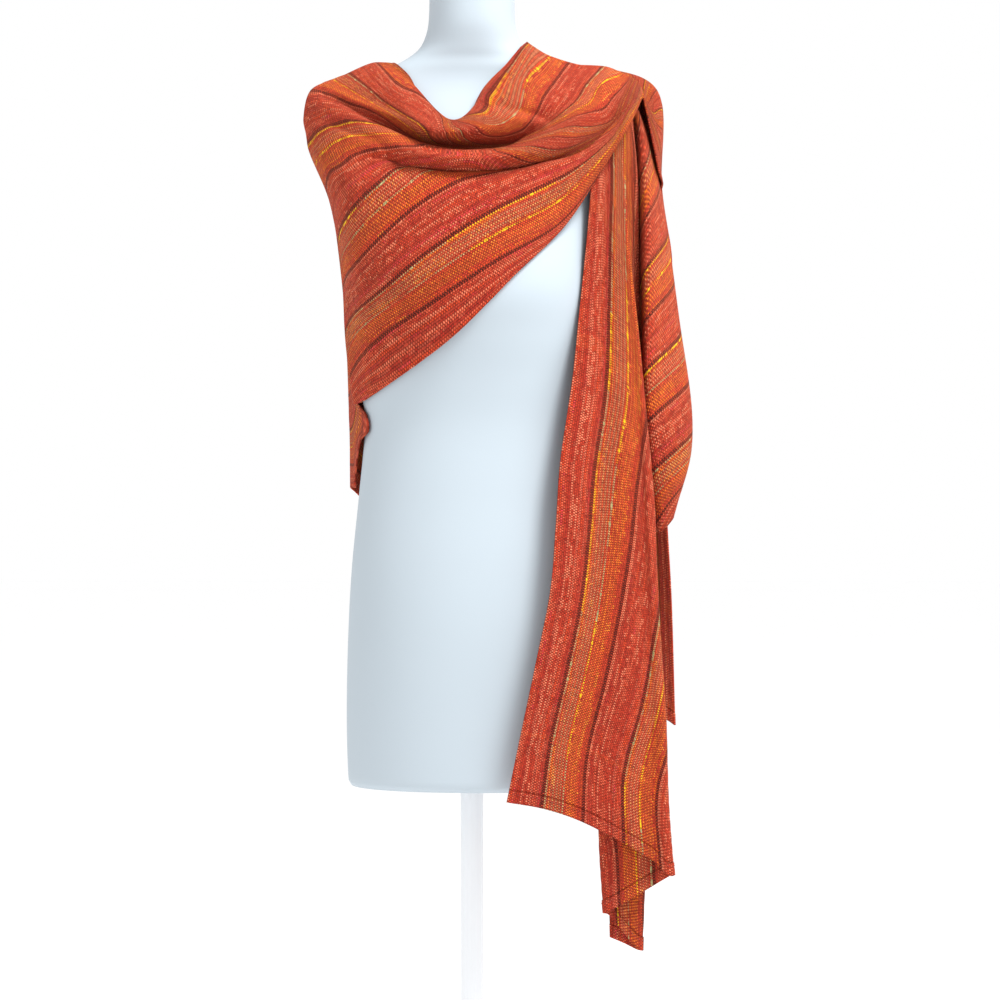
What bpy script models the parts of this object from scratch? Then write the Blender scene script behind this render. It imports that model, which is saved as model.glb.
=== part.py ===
# Striped shawl draped on a limbless dress form.
# Metres, +Z up, the front faces -Y, the origin is on the floor under the base.
# The shawl is one woven rectangle, cut here into the stretches that show.

import bpy
import math
from mathutils import Vector
from mathutils.bvhtree import BVHTree

# Driving dimensions
MM = 0.001
CLOTH = 0.0018
HEM_BAND = 0.012
HEM_THICK = 0.0034
SEAM = 0.0008
HEM_SEAM = 0.0013
SHOULDER_SEAM = 0.0022
LAYER_GAP = 0.0042
FORM_GAP = 0.0030
BASE_RADIUS = 0.185
BASE_THICK = 0.012
POLE_RADIUS = 0.0125
BODY_FLOOR = 0.620
NECK_TOP = 1.492
EYE = Vector((0.0308, -3.2, 0.9325))

# Start from an empty scene
for old in list(bpy.data.objects):
    bpy.data.objects.remove(old, do_unlink=True)

collection = bpy.data.collections.new("Shawl on dress form")
bpy.context.scene.collection.children.link(collection)


def table(text):
    """A small table: one row for each line, numbers split by spaces, millimetres to metres."""
    rows = []
    for line in text.strip().splitlines():
        rows.append([float(word) * MM for word in line.split()])
    return rows


def triples(row):
    """Cut a row into points. Each x and z is where a viewer at EYE sees the point in the plane y = 0."""
    points = []
    for k in range(0, len(row), 3):
        seen = Vector((row[k], 0.0, row[k + 2]))
        points.append(EYE + (seen - EYE) * (1 - row[k + 1] / EYE.y))
    return points


# Smooth curves
def knots(points):
    """Chord-length places of the points along their curve, from 0 to 1."""
    places = [0.0]
    for a, b in zip(points, points[1:]):
        places.append(places[-1] + max((b - a).length, 1e-6) ** 0.7)
    return [p / places[-1] for p in places]


def smooth(values, places, u):
    """Value at u of the smooth curve through values (numbers or vectors) at places."""
    last = len(values) - 1
    k = 0
    while k < last - 1 and u > places[k + 1]:
        k += 1
    slopes = []
    for i in (k, k + 1):
        lo = max(i - 1, 0)
        hi = min(i + 1, last)
        slopes.append((values[hi] - values[lo]) / (places[hi] - places[lo]))
    span = places[k + 1] - places[k]
    w = (u - places[k]) / span
    h1 = w * w * (3 - 2 * w)
    h2 = w * (1 - w) ** 2 * span
    h3 = w * w * (w - 1) * span
    return values[k] * (1 - h1) + values[k + 1] * h1 + slopes[0] * h2 + slopes[1] * h3


def even(count, start=0.0, stop=1.0):
    """Evenly spaced fractions from start to stop."""
    return [start + (stop - start) * n / (count - 1) for n in range(count)]


def along(points, fractions):
    """Points at fractions of the length of the smooth curve through the given points."""
    places = knots(points)
    fine = [smooth(points, places, k / 160) for k in range(161)]
    lengths = [0.0]
    for a, b in zip(fine, fine[1:]):
        lengths.append(lengths[-1] + (b - a).length)
    out = []
    k = 0
    for fraction in fractions:
        want = lengths[-1] * fraction
        while k < 159 and lengths[k + 1] < want:
            k += 1
        w = (want - lengths[k]) / max(lengths[k + 1] - lengths[k], 1e-9)
        out.append(fine[k].lerp(fine[k + 1], w))
    return out


def sheet_grid(lines, sections, across):
    """Grid of points from lines that run along the cloth: each section joins the lines in turn."""
    placed = [along(line, sections) for line in lines]
    grid = []
    for k in range(len(sections)):
        grid.append(along([line[k] for line in placed], even(across)))
    return grid


# Solids
def finish(name, verts, faces, colour, roughness, smooth_faces=True):
    """Link a mesh object with its own Principled material."""
    mesh = bpy.data.meshes.new(name)
    mesh.from_pydata([tuple(v) for v in verts], [], faces)
    mesh.validate()
    mesh.update()
    obj = bpy.data.objects.new(name, mesh)
    collection.objects.link(obj)
    material = bpy.data.materials.new(name)
    material.use_nodes = True
    shader = material.node_tree.nodes["Principled BSDF"]
    shader.inputs["Base Color"].default_value = (*colour, 1.0)
    shader.inputs["Roughness"].default_value = roughness
    shader.inputs["Metallic"].default_value = 0.0
    mesh.materials.append(material)
    for face in mesh.polygons:
        face.use_smooth = smooth_faces
    return obj


def grid_normals(grid):
    """Unit normals of a grid of points."""
    rows = len(grid)
    cols = len(grid[0])
    normals = []
    for i in range(rows):
        line = []
        for j in range(cols):
            down = grid[min(i + 1, rows - 1)][j] - grid[max(i - 1, 0)][j]
            over = grid[i][min(j + 1, cols - 1)] - grid[i][max(j - 1, 0)]
            normal = down.cross(over)
            if normal.length < 1e-9:
                normal = Vector((0, -1, 0))
            line.append(normal.normalized())
        normals.append(line)
    return normals


def cloth_solid(name, grid, thick, colour, normals=None):
    """Closed wall of even thickness on both sides of a grid of points."""
    rows = len(grid)
    cols = len(grid[0])
    if normals is None:
        normals = grid_normals(grid)
    verts = []
    for side in (0.5, -0.5):
        for i in range(rows):
            for j in range(cols):
                verts.append(grid[i][j] + normals[i][j] * thick * side)
    back = rows * cols
    faces = []
    for i in range(rows - 1):
        for j in range(cols - 1):
            a = i * cols + j
            faces.append((a, a + cols, a + cols + 1, a + 1))
            faces.append((back + a, back + a + 1, back + a + cols + 1, back + a + cols))
    ring = [j for j in range(cols)]
    ring += [i * cols + cols - 1 for i in range(1, rows)]
    ring += [(rows - 1) * cols + j for j in range(cols - 2, -1, -1)]
    ring += [i * cols for i in range(rows - 2, 0, -1)]
    for a, b in zip(ring, ring[1:] + ring[:1]):
        faces.append((a, b, back + b, back + a))
    return finish(name, verts, faces, colour, 0.92)


def lathe(name, profile, sides, colour, roughness, centre=(0.0, 0.0)):
    """Closed solid of revolution from (radius, z) pairs, bottom to top."""
    verts = []
    faces = []
    for radius, z in profile:
        for k in range(sides):
            turn = 2 * math.pi * k / sides
            verts.append((centre[0] + radius * math.cos(turn), centre[1] + radius * math.sin(turn), z))
    for i in range(len(profile) - 1):
        for k in range(sides):
            a = i * sides + k
            b = i * sides + (k + 1) % sides
            faces.append((a, b, b + sides, a + sides))
    faces.append(tuple(range(sides - 1, -1, -1)))
    top = (len(profile) - 1) * sides
    faces.append(tuple(range(top, top + sides)))
    return finish(name, verts, faces, colour, roughness)


# The form: height, half width, half depth, centre x, centre y
FORM = table("""
 620 143 105 10   6
 626 146 108 10   6
 700 149 112 11   6
 790 147 114 11   5
 860 142 108 10   3
 940 132  96  8   0
1010 125  90  7  -2
1060 127  95  5  -4
1110 131 105  3  -8
1155 133 114  1 -12
1200 136 112  0  -9
1240 143 103  0  -2
1280 153  94  0   4
1315 164  85  0   8
1340 170  77  0  10
1358 170  67  0  12
1372 161  60  0  13
1385 142  56  0  14
1396 118  54  0  14
1406  96  53  0  13
1415  78  52  0  12
1423  65  52  0  10
1432  56  52  0   8
1450  49  52  0   4
1472  47  50  0   1
1492  47  49  0   0
""")

FORM_SIDES = 28


def form_ring(row, z=None):
    """One ring of the form, slightly squarer than an ellipse."""
    height, wide, deep, cx, cy = row
    if z is None:
        z = height
    ring = []
    for k in range(FORM_SIDES):
        turn = 2 * math.pi * k / FORM_SIDES
        c = math.cos(turn)
        s = math.sin(turn)
        x = math.copysign(abs(c) ** 0.93, c)
        y = math.copysign(abs(s) ** 0.93, s)
        ring.append(Vector((cx + wide * x, cy + deep * y, z)))
    return ring


def form_faces(count):
    faces = []
    for i in range(count - 1):
        for k in range(FORM_SIDES):
            a = i * FORM_SIDES + k
            b = i * FORM_SIDES + (k + 1) % FORM_SIDES
            faces.append((a, b, b + FORM_SIDES, a + FORM_SIDES))
    faces.append(tuple(range(FORM_SIDES - 1, -1, -1)))
    top = (count - 1) * FORM_SIDES
    faces.append(tuple(range(top, top + FORM_SIDES)))
    return faces


form_verts = []
for row in FORM:
    form_verts += form_ring(row)
form_body = finish("form_body", form_verts, form_faces(len(FORM)), (0.86, 0.87, 0.88), 0.55)
form_tree = BVHTree.FromPolygons([tuple(v) for v in form_verts], form_faces(len(FORM)))

neck = FORM[-1]
cap_verts = []
for inset, z in ((0.0006, 0.0004), (-0.001, 0.0014), (-0.001, 0.005), (0.002, 0.008), (0.012, 0.0105), (0.03, 0.0115)):
    cap_verts += form_ring((0, neck[1] - inset, neck[2] - inset, neck[3], neck[4]), NECK_TOP + z)
finish("neck_cap", cap_verts, form_faces(6), (0.80, 0.81, 0.82), 0.45)

# The stand
lathe("form_base", [(BASE_RADIUS - 0.002, 0.0), (BASE_RADIUS, 0.002), (BASE_RADIUS, 0.007),
                    (BASE_RADIUS - 0.003, 0.0105), (BASE_RADIUS - 0.012, BASE_THICK)],
      32, (0.82, 0.83, 0.84), 0.35)
lathe("form_collar", [(0.034, BASE_THICK + 0.0004), (0.034, 0.019), (0.022, 0.026), (0.018, 0.040),
                      (0.018, 0.0460)], 24, (0.82, 0.83, 0.84), 0.35)
lathe("form_pole", [(POLE_RADIUS, 0.0464), (POLE_RADIUS, BODY_FLOOR - 0.0004)],
      20, (0.82, 0.83, 0.84), 0.30)


def keep_out(grid, tree, gap, outward=None, reach=0.05):
    """Move the grid out of a surface, or further from it than the gap, and ease its neighbours."""
    rows = len(grid)
    cols = len(grid[0])
    moves = [[Vector((0, 0, 0)) for j in range(cols)] for i in range(rows)]
    for i in range(rows):
        for j in range(cols):
            hit, normal, index, far = tree.find_nearest(grid[i][j])
            if hit is None or far > reach:
                continue
            if outward is not None and normal.dot(outward(grid[i][j])) < 0:
                normal = -normal
            depth = (grid[i][j] - hit).dot(normal)
            beside = abs(depth) < 0.6 * far and far > 0.5 * gap
            if depth < gap and not beside and (depth < 0 or far < gap):
                moves[i][j] = hit + normal * gap - grid[i][j]
    for turn in range(3):
        eased = []
        for i in range(rows):
            line = []
            for j in range(cols):
                near = [moves[max(i - 1, 0)][j], moves[min(i + 1, rows - 1)][j]]
                near += [moves[i][max(j - 1, 0)], moves[i][min(j + 1, cols - 1)]]
                blend = (near[0] + near[1] + near[2] + near[3]) / 4
                line.append(max(moves[i][j], blend, key=lambda move: move.length))
            eased.append(line)
        moves = eased
    for i in range(rows):
        for j in range(cols):
            grid[i][j] = grid[i][j] + moves[i][j]


def from_axis(point):
    """Outward direction from the middle of the torso, upwards above the shoulders."""
    core = Vector((0.0, 0.0, min(point.z, 1.30)))
    return (point - core).normalized()


def tree_of(grid):
    """Search tree of a grid's surface."""
    cols = len(grid[0])
    verts = [tuple(p) for line in grid for p in line]
    faces = []
    for i in range(len(grid) - 1):
        for j in range(cols - 1):
            a = i * cols + j
            faces.append((a, a + cols, a + cols + 1, a + 1))
    return BVHTree.FromPolygons(verts, faces)


# Front fall, hem to shoulder. Each row is one level of the Z-folded end:
# inner selvedge x y z, right fold x y z, left fold behind x y z, second right fold x y z, outer edge x y z
FRONT = table("""
 38 -136  600  222 -112  520  145  -98  478  187  -84  437  152  -70  452
 52 -137  668  216 -114  600  140 -100  560  190  -86  524  150  -72  540
 70 -135  753  213 -112  694  140  -98  660  190  -84  630  152  -71  640
 86 -130  833  207 -106  783  148  -92  756  188  -78  730  156  -64  738
 92 -120  905  203  -98  857  156  -82  836  184  -64  813  172  -44  822
 97 -108  976  200  -90  932  168  -73  915  184  -54  900  186  -22  905
110  -92 1064  191  -76 1030  172  -60 1018  182  -40 1008  185  -13 1010
119  -78 1151  182  -62 1124  174  -46 1116  180  -32 1108  184  -20 1108
127  -72 1230  172  -56 1215  175  -46 1212  179  -36 1206  183  -29 1206
131  -67 1300  168  -48 1290  172  -41 1288  177  -36 1285  182  -30 1284
126  -55 1352  166  -38 1348  170  -31 1346  174  -24 1344  177  -15 1342
113   -4 1400  148   -4 1389  156   -4 1386  165   -4 1382  174   -4 1377
""")


def z_folded(row):
    """Control points of one level: the panel, then the layers folded behind it."""
    a, b, c, d, e = triples(row)
    width = (b - a).length
    points = []
    for w, lift in ((0.0, 0.0), (0.22, -0.004), (0.45, 0.003), (0.7, -0.003), (0.88, 0.0)):
        point = a.lerp(b, w)
        point.z = a.z + (b.z - a.z) * w ** 1.6
        point.y += lift * min(1.0, width / 0.12)
        points.append(point)
    for before, here, after, side in ((a, b, c, -1), (b, c, d, 1), (c, d, e, -1)):
        # a round turn where the cloth folds back, a straight run where it doesn't
        fold = min(1.0, abs(b.x - c.x) / 0.03)
        step = 0.0056 * fold
        level = before.lerp(here, 0.94) if here is not b else here
        if here is not b:
            points.append(before.lerp(here, 0.5))
        points.append(Vector((here.x + side * step, here.y - step, level.z)))
        points.append(here + Vector((0, 0.0002, 0)))
        points.append(Vector((here.x + side * step, here.y + step, here.lerp(after, 0.06).z)))
    points.append(d.lerp(e, 0.6))
    points.append(e)
    return points


front_lines = [list(line) for line in zip(*[z_folded(row) for row in FRONT])]
front_length = sum((b - a).length for a, b in zip(front_lines[0], front_lines[0][1:]))
hem = HEM_BAND / front_length
cut = (HEM_BAND + HEM_SEAM) / front_length
front_grid = sheet_grid(front_lines, even(3, 0.0, hem) + even(27, cut, 1.0), 35)
keep_out(front_grid, form_tree, FORM_GAP)
front_normals = grid_normals(front_grid)
front_hem = front_grid[:3]
front_fall = front_grid[3:]

# Round the back. Each row is one station from the valley behind the front fall to the left side:
# top edge, shoulder, upper, middle, low, lower edge, each x y z
BACK = table("""
 141  -2 1393   172   -2 1375   180   -8 1284   184  -10 1180   189    2 1040   196   10  900
 141   3 1393   178   -5 1368   191  -41 1278   193  -50 1165   194  -46 1040   208   -8  898
 136   8 1395   181    9 1363   206    0 1275   225    0 1133   240    2  995   221    6  913
 118  22 1396   182   22 1360   200   42 1270   218   54 1130   230   66 1000   214   72  912
  92  48 1396   158   56 1345   170   78 1255   184   92 1125   192  108 1000   186  116  905
  58  68 1404   108   82 1340   114  102 1250   122  116 1125   126  132 1000   126  140  898
  10  72 1416    14   96 1335    16  110 1245    18  122 1120    18  136 1000    18  144  896
 -38  68 1418   -70   88 1342   -78  106 1250   -82  118 1125   -82  130 1005   -80  136  902
 -66  46 1416  -130   64 1352  -138   82 1255  -142   92 1130  -138   98 1010  -132  102  943
 -72  24 1419  -168   28 1369  -158   34 1262  -146   36 1150  -136   38 1030  -127   40  946
""")

# The seam at the left side, shared by the back and the chest
LEFT_SEAM = []
for row in table("""
 -72 9 1424  -104 9 1412  -140 9 1401  -170 9 1387  -181 9 1353  -174 9 1316
-153 9 1262  -142 9 1190  -137 9 1115  -130 8 1050  -130 6 1000  -130 3  949
"""):
    LEFT_SEAM += triples(row)

ACROSS = 12
WAVES = 6
back_rows = [along(triples(row), even(ACROSS)) for row in BACK]
back_rows.append([point + Vector((0, SEAM / 2, 0)) for point in along(LEFT_SEAM, even(ACROSS))])
back_lines = [list(line) for line in zip(*back_rows)]
back_wrap = sheet_grid(back_lines, even(36), 23)
for i, line in enumerate(back_wrap):
    # soft waves that open out towards the lower edge behind
    behind = math.sin(math.pi * i / (len(back_wrap) - 1)) ** 2
    for j, point in enumerate(line):
        w = j / (len(line) - 1)
        wave = 0.006 * behind * w * w * math.sin(2 * math.pi * WAVES * i / (len(back_wrap) - 1))
        line[j] = point + Vector((point.x * 0.3, abs(point.y), 0)).normalized() * wave
keep_out(back_wrap, form_tree, FORM_GAP)
keep_out(back_wrap, tree_of(front_fall), 0.0030, from_axis, 0.003)

# Across the chest. Each row is one line along the cloth, from the left side to the shoulder:
# tucked edge, neckline, first roll, first crease, second roll, second crease, chest, selvedge
CHEST = table("""
 -72   9 1424   -80  -12 1417   -61  -40 1397   -47  -64 1332   -8  -68 1328   14  -60 1385   38  -42 1412   50  -20 1428   60    4 1436
 -80   9 1421   -88  -14 1414   -68  -46 1393   -38  -80 1354   -4  -88 1353   20  -70 1380   45  -46 1407   57  -24 1422   67    4 1431
-104   9 1412  -111  -15 1409   -86  -58 1384   -46 -102 1341    8 -106 1344   46  -94 1352   72  -58 1382   80  -30 1403   84    2 1421
-140   9 1402  -144  -16 1395  -112  -54 1371   -54  -84 1334    8  -85 1327   56  -78 1334  100  -56 1368  110  -30 1391  116    1 1411
-170   9 1387  -177  -14 1379  -126  -74 1346   -58 -110 1316   12 -118 1310   75 -102 1327  130  -64 1359  141  -36 1386  150    0 1408
-181   9 1352  -183  -16 1351  -129  -80 1314   -62 -103 1302   15 -107 1298   88  -92 1314  146  -58 1348  164  -35 1376  173   -1 1398
-175   9 1318  -177  -18 1314  -131  -92 1280   -64 -116 1279   20 -122 1275   95 -102 1293  153  -64 1336  170  -41 1370  178   -1 1396
-153   9 1262  -155  -20 1258  -127  -94 1222   -62 -126 1230   24 -132 1244   98 -100 1276  152  -68 1326  173  -46 1363  182   -2 1392
-142   9 1190  -142  -20 1180  -121  -88 1168   -60 -130 1180   25 -135 1212  100  -98 1256  149  -71 1314  173  -51 1355  185   -4 1387
-137   9 1115  -137  -20 1105  -108  -80 1110   -42 -124 1144   34 -128 1194  100  -96 1244  146  -72 1305  172  -54 1348  187   -6 1382
-130   9 1050  -128  -20 1038   -87  -80 1063   -20 -120 1113   45 -122 1178  102  -94 1234  143  -72 1296  171  -56 1341  188   -9 1377
""")

left_curve = along(LEFT_SEAM, even(240))
chest_lines = []
for row in CHEST:
    line = triples(row)
    line[0] = min(left_curve, key=lambda point: (point - line[0]).length) - Vector((0, SEAM / 2, 0))
    chest_lines.append(line)
chest_drape = sheet_grid(chest_lines, even(31), 33)
keep_out(chest_drape, form_tree, FORM_GAP)
panel = [line[:17] for line in front_fall]
shoulder = [line[:8] for line in back_wrap[2:14]]
keep_out(chest_drape, tree_of(panel), LAYER_GAP, from_axis, 0.03)
keep_out(chest_drape, tree_of(shoulder), LAYER_GAP, from_axis, 0.02)
shoulder_seam = chest_drape[-1]

# Thrown over the shoulder and down the back: levels from the shoulder to the hem,
# inner selvedge to outer edge, five points x y z
FALL = table("""
 66  52 1418   102  62 1403   148  56 1391   203  24 1382   205 -13 1297
 66  96 1362   104 108 1344   152  98 1328   204  68 1302   208  40 1264
 60 118 1272   100 128 1256   150 122 1244   200 106 1226   220  66 1196
 54 142 1142    98 150 1128   146 146 1116   194 132 1102   216  98 1080
 48 158 1000    94 164  988   142 160  976   190 144  962   214 108  942
 44 160  880    90 166  868   138 162  852   188 144  836   220 104  820
 42 158  765    88 164  754   136 160  736   186 142  708   224 102  684
""")

PLEATS = 3.0


def pleated(row, level):
    """Control points across one level, with the soft pleats of a hanging end."""
    ends = triples(row)
    count = 22
    size = 0.012 * min(1.0, max(0.0, (level - 0.6) / 3.0))
    points = []
    for k, point in enumerate(along(ends, even(count))):
        w = k / (count - 1)
        wave = math.sin(2 * math.pi * PLEATS * w) * math.sin(math.pi * w) ** 0.5
        side = math.cos(2 * math.pi * PLEATS * w) * math.sin(math.pi * w) ** 0.5
        points.append(point + Vector((side * size * 0.35, size * (1 + wave), 0)))
    return points


fall_rows = [[point + Vector((0, SHOULDER_SEAM, 0)) for point in along(shoulder_seam, even(22))]]
fall_rows += [pleated(row, k + 1) for k, row in enumerate(FALL)]
fall_lines = [list(line) for line in zip(*fall_rows)]
fall_length = sum((b - a).length for a, b in zip(fall_lines[8], fall_lines[8][1:]))
hem = 1.0 - HEM_BAND / fall_length
cut = 1.0 - (HEM_BAND + HEM_SEAM) / fall_length
fall_grid = sheet_grid(fall_lines, even(24, 0.0, cut) + even(3, hem, 1.0), 35)
keep_out(fall_grid, form_tree, FORM_GAP)
keep_out(fall_grid, tree_of(back_wrap), LAYER_GAP, from_axis, 0.02)
fall_normals = grid_normals(fall_grid)
back_fall = fall_grid[:-3]
back_hem = fall_grid[-3:]

# Build the cloth
RUST = (0.62, 0.17, 0.08)
cloth_solid("front_fall", front_fall, CLOTH, RUST, front_normals[3:])
cloth_solid("front_hem", front_hem, HEM_THICK, (0.58, 0.16, 0.08), front_normals[:3])
cloth_solid("back_wrap", back_wrap, CLOTH, (0.60, 0.18, 0.09))
cloth_solid("chest_drape", chest_drape, CLOTH, (0.64, 0.18, 0.08))
cloth_solid("back_fall", back_fall, CLOTH, (0.61, 0.17, 0.09), fall_normals[:-3])
cloth_solid("back_hem", back_hem, HEM_THICK, (0.57, 0.16, 0.08), fall_normals[-3:])

for obj in collection.objects:
    print(obj.name, len(obj.data.polygons), [round(v, 3) for v in obj.dimensions])
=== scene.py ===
# %% [markdown]
# # A handwoven striped shawl on a dress form
# The CAD model in the frame already holds every piece at its real size: the shawl as one woven
# rectangle, cut into the stretches that show, and the plain form that it rests on. This script dresses
# that model. It lays each stretch out again on a finer grid, weaves it in the shader, end by end and
# pick by pick, and finishes the form and its stand.

# %% Load the frame
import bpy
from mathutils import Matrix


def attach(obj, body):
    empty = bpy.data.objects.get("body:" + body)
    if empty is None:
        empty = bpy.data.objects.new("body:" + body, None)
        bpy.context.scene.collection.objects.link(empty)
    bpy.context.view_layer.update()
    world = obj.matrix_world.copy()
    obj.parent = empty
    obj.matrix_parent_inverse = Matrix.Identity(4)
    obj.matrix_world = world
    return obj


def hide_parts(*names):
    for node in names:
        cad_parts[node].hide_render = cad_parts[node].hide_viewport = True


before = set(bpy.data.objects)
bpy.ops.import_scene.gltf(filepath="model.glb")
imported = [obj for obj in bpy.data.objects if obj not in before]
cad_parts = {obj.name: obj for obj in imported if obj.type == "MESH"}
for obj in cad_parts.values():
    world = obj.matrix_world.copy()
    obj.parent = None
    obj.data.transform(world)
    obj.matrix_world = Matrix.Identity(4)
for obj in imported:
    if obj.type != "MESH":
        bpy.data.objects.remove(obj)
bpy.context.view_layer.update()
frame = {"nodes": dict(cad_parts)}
print("nodes in the frame:", ", ".join(frame["nodes"]))

# %% Libraries and sizes
import bpy
import bmesh
import math
import numpy as np
from mathutils import Matrix, Vector
from mathutils.bvhtree import BVHTree

MM = 0.001
CLOTH = 0.0018
HEM_BAND = 0.012
HEM_THICK = 0.0034
STITCH_PITCH = 0.0052
STITCH_LENGTH = 0.0036
STITCH_THICK = 0.0011
WIDTH = 0.530
PICK = 0.00142
END = 0.00185
FORM_GAP = 0.0030
LAYER_GAP = 0.0042
CURVE_STEPS = 240
EYE = np.array([0.0308, -3.2, 0.9325])
print("ends across the loom:", round(WIDTH / END))

# %% [markdown]
# A sheet of cloth that hangs has long smooth lines, and each of them can be drawn through a few points
# taken down its length. The tables below hold those points in millimetres, a row for a level or a
# station, and a backslash carries a long row on to the next line. A smooth curve goes through each line
# of points first, and then through the lines in turn. Each point also carries a fourth number, its place
# across the loom from 0 at one selvedge to 1 at the other, so the stripes follow the cloth round every
# fold.

# %% Tables and smooth curves
def table(text):
    """A small table: one row for each line, millimetres to metres and thousandths to fractions."""
    return [[float(word) * MM for word in line.split()] for line in text.strip().splitlines()]


def spots(row):
    """Cut a row into points. Each x and z is where the camera at EYE sees the point in the plane y = 0."""
    points = np.array(row).reshape(-1, 3)
    seen = points * [1, 0, 1]
    return EYE + (seen - EYE) * (1 - points[:, 1:2] / EYE[1])


def resample(points, fractions):
    """Points at fractions of the length of smooth curves. The array's axes are the points, the curves
    and each point's x, y, z and place across the loom."""
    chord = np.linalg.norm(np.diff(points[..., :3], axis=0), axis=-1).clip(1e-6) ** 0.7
    places = np.concatenate([np.zeros((1, points.shape[1])), np.cumsum(chord, axis=0)])
    places /= places[-1]
    last = len(points) - 1
    low = np.maximum(np.arange(last + 1) - 1, 0)
    high = np.minimum(np.arange(last + 1) + 1, last)
    slopes = (points[high] - points[low]) / (places[high] - places[low])[..., None]
    curve = np.arange(points.shape[1])
    fine = []
    for u in np.linspace(0, 1, CURVE_STEPS + 1):
        k = np.clip((places < u).sum(axis=0) - 1, 0, last - 1)
        span = (places[k + 1, curve] - places[k, curve])[:, None]
        w = (u - places[k, curve])[:, None] / span
        blend = w * w * (3 - 2 * w)
        middle = points[k, curve] * (1 - blend) + points[k + 1, curve] * blend
        bend = slopes[k, curve] * w * (1 - w) ** 2 + slopes[k + 1, curve] * w * w * (w - 1)
        fine.append(middle + bend * span)
    fine = np.array(fine)
    step = np.linalg.norm(np.diff(fine[..., :3], axis=0), axis=-1)
    length = np.concatenate([np.zeros((1, points.shape[1])), np.cumsum(step, axis=0)])
    out = np.empty((len(fractions), points.shape[1], points.shape[2]))
    for c in curve:
        for axis in range(points.shape[2]):
            out[:, c, axis] = np.interp(fractions, length[:, c] / length[-1, c], fine[:, c, axis])
    return out


def lay_out(rows, sections, across):
    """A sheet's points from rows of control points: first along the cloth, then across each section."""
    down = resample(rows, sections)
    return resample(down.transpose(1, 0, 2), np.linspace(0, 1, across)).transpose(1, 0, 2)

# %% [markdown]
# The form is a limbless torso on a pole. Its rings are a little squarer than ellipses, and a short table
# gives them by height. A circle that is extruded ring by ring makes the shell, which is the way a turned
# shape with changing depth is drawn in Blender.

# %% The dress form
FORM_ROWS = table("""
 620 143 105 10   6
 626 146 108 10   6
 700 149 112 11   6
 790 147 114 11   5
 860 142 108 10   3
 940 132  96  8   0
1010 125  90  7  -2
1060 127  95  5  -4
1110 131 105  3  -8
1155 133 114  1 -12
1200 136 112  0  -9
1240 143 103  0  -2
1280 153  94  0   4
1315 164  85  0   8
1340 170  77  0  10
1358 170  67  0  12
1372 161  60  0  13
1385 142  56  0  14
1396 118  54  0  14
1406  96  53  0  13
1415  78  52  0  12
1423  65  52  0  10
1432  56  52  0   8
1450  49  52  0   4
1472  47  50  0   1
1492  47  49  0   0
""")
SIDES = 96
LEVELS = 140
SQUARENESS = 0.93


def form_ring(wide, deep, z, x, y):
    """One level of the form."""
    turn = np.linspace(0, 2 * math.pi, SIDES, endpoint=False)
    c = np.cos(turn)
    s = np.sin(turn)
    round_x = np.sign(c) * abs(c) ** SQUARENESS
    round_y = np.sign(s) * abs(s) ** SQUARENESS
    return np.stack([x + wide * round_x, y + deep * round_y, np.full(SIDES, z)], axis=1)


def rings_to_mesh(rings):
    """A closed shell from a circle that is extruded ring by ring."""
    shell = bmesh.new()
    bmesh.ops.create_circle(shell, cap_ends=False, radius=1, segments=SIDES)
    shell.verts.ensure_lookup_table()
    ring = sorted(shell.verts, key=lambda vert: math.atan2(vert.co.y, vert.co.x) % (2 * math.pi - 1e-4))
    for vert, place in zip(ring, rings[0]):
        vert.co = place
    edges = list(shell.edges)
    bmesh.ops.contextual_create(shell, geom=edges)
    for level in rings[1:]:
        grown = bmesh.ops.extrude_edge_only(shell, edges=edges)["geom"]
        edges = [item for item in grown
                 if isinstance(item, bmesh.types.BMEdge) and len(item.link_faces) == 1]
        fresh = {vert for edge in edges for vert in edge.verts}
        upper = []
        for vert in ring:
            ends = [edge.other_vert(vert) for edge in vert.link_edges]
            upper.append(next(end for end in ends if end in fresh))
        for vert, place in zip(upper, level):
            vert.co = place
        ring = upper
    bmesh.ops.contextual_create(shell, geom=edges)
    bmesh.ops.recalc_face_normals(shell, faces=shell.faces)
    return shell


def to_object(name, mesh_data):
    """A finished bmesh as an object that rides on the part."""
    mesh = bpy.data.meshes.new(name)
    mesh_data.to_mesh(mesh)
    mesh_data.free()
    mesh.polygons.foreach_set("use_smooth", [True] * len(mesh.polygons))
    piece = bpy.data.objects.new(name, mesh)
    bpy.context.scene.collection.objects.link(piece)
    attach(piece, "root")
    print(name, len(mesh.polygons), "faces")
    return piece


levels = np.array([[wide, deep, z, x, y] for z, wide, deep, x, y in FORM_ROWS])
form_levels = resample(levels[:, None], np.linspace(0, 1, LEVELS))[:, 0]
form_mesh = rings_to_mesh([form_ring(*level) for level in form_levels])
form_tree = BVHTree.FromBMesh(form_mesh)
form = to_object("form_shell", form_mesh)
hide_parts("form_body")

# %% [markdown]
# A sheet may not sink into the form or into the layer under it. Each point that lies too near is moved
# out along the surface's normal, and its neighbours are eased after it so that no dent shows.

# %% Helpers for sheets
HIGH_CORE = 1.30
EASING_TURNS = 10
PATH_POINTS = 60
UV_START = 0.3


def tree_of(grid):
    """Search tree of a sheet's surface."""
    rows, cols = grid.shape[:2]
    numbers = np.arange(rows * cols).reshape(rows, cols)
    corners = [numbers[:-1, :-1], numbers[1:, :-1], numbers[1:, 1:], numbers[:-1, 1:]]
    faces = np.stack([corner.ravel() for corner in corners], axis=1)
    return BVHTree.FromPolygons(grid[..., :3].reshape(-1, 3).tolist(), faces.tolist())


def from_axis(point):
    """Outward direction from the middle of the torso, upwards above the shoulders."""
    core = Vector((0.0, 0.0, min(point.z, HIGH_CORE)))
    return (point - core).normalized()


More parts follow.
